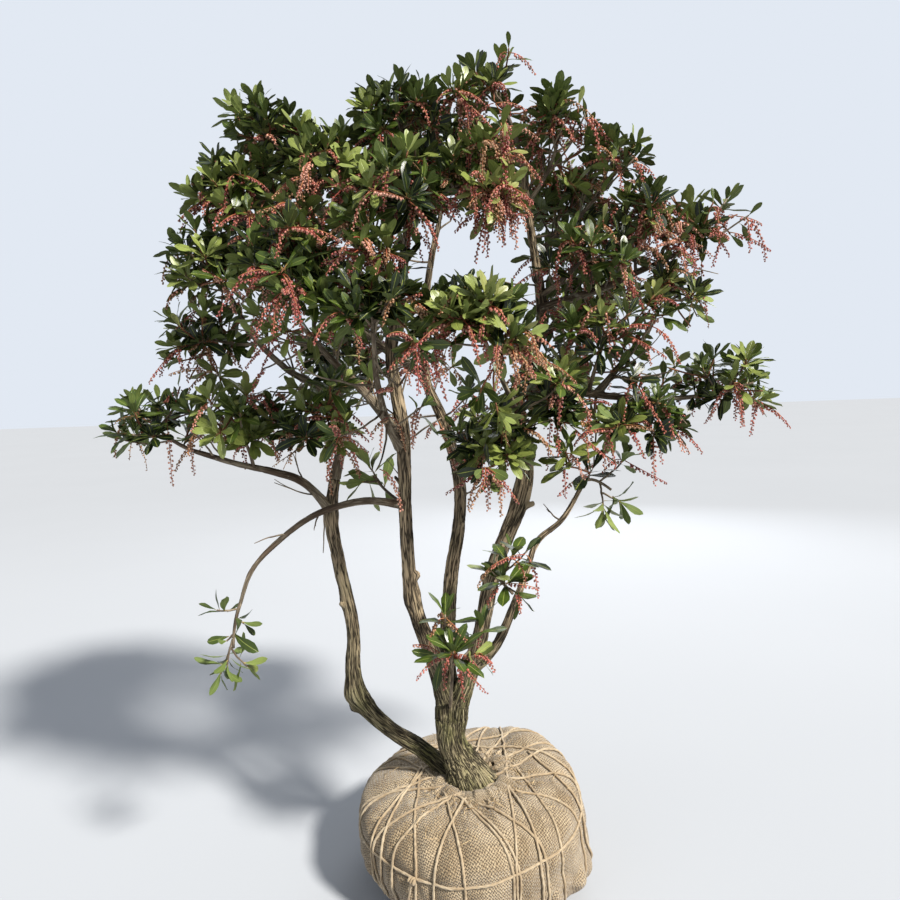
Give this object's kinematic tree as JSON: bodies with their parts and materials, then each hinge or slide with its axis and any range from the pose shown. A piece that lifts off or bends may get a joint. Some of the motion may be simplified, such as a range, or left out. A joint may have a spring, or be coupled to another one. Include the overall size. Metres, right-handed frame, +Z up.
{
  "type": "pieris shrub",
  "caption": "Evergreen flowering shrub on a burlap-wrapped root ball: a forked trunk, spreading boughs, and masses of glossy leaves with hanging racemes of pink buds.",
  "frame": {"origin": "middle of the flat underside of the root ball", "axes": "+Z up along the trunk, +X to the right and +Y to the back as the crown is seen from its front"},
  "size_m": [1.2984, 0.7231, 1.6255],
  "materials": {
    "burlap": "coarse plain-woven jute cloth, tan, matt, dusty with soil",
    "twine": "two-ply twisted jute twine, straw brown, hairy, matt",
    "bark": "old bark, grey brown with olive patches, long fibrous furrows, matt",
    "bough_bark": "younger bark, grey brown, finely fissured, matt",
    "foliage": "leathery glossy dark green leaves on red-brown twigs, with coral pink flower buds"
  },
  "bodies": {
    "root": {"root_ball": "burlap", "ball_lashing": "twine", "trunk": "bark", "stem_left_centre": "bark", "stem_right_centre": "bark", "stem_rear": "bark", "stem_right_outer": "bark", "stem_left_outer": "bark", "bough_drooping": "bough_bark", "bough_left_centre": "bough_bark", "bough_upper_left": "bough_bark", "bough_left_rise": "bough_bark", "bough_left_low": "bough_bark", "bough_right_high": "bough_bark", "bough_right_low": "bough_bark", "bough_right_fork": "bough_bark", "bough_front": "bough_bark", "bough_front_left": "bough_bark", "bough_back_left": "bough_bark", "bough_back_right": "bough_bark", "foliage_left_tip": "foliage", "foliage_left_low": "foliage", "foliage_left_inner": "foliage", "foliage_left_mid": "foliage", "foliage_left_outer": "foliage", "foliage_left_upper": "foliage", "foliage_upper_left": "foliage", "foliage_left_front": "foliage", "foliage_upper_mid": "foliage", "foliage_top_left": "foliage", "foliage_upper_centre": "foliage", "foliage_front_left": "foliage", "foliage_front": "foliage", "foliage_centre_high": "foliage", "foliage_top": "foliage", "foliage_top_right": "foliage", "foliage_right_peak": "foliage", "foliage_right_rear": "foliage", "foliage_right_shoulder": "foliage", "foliage_right_high": "foliage", "foliage_right_centre": "foliage", "foliage_right_mid": "foliage", "foliage_right_fork": "foliage", "foliage_centre_low": "foliage", "foliage_right_low": "foliage", "foliage_right_tip": "foliage", "foliage_centre_skirt": "foliage", "foliage_right_skirt": "foliage", "foliage_stem_spray": "foliage", "foliage_fork_spray": "foliage", "foliage_stem_tuft": "foliage", "foliage_droop_tip": "foliage", "foliage_back_left": "foliage", "foliage_back_centre": "foliage", "foliage_back_right": "foliage", "foliage_back_low_left": "foliage", "foliage_back_low_right": "foliage", "foliage_back_top": "foliage"}
  },
  "joints": []
}
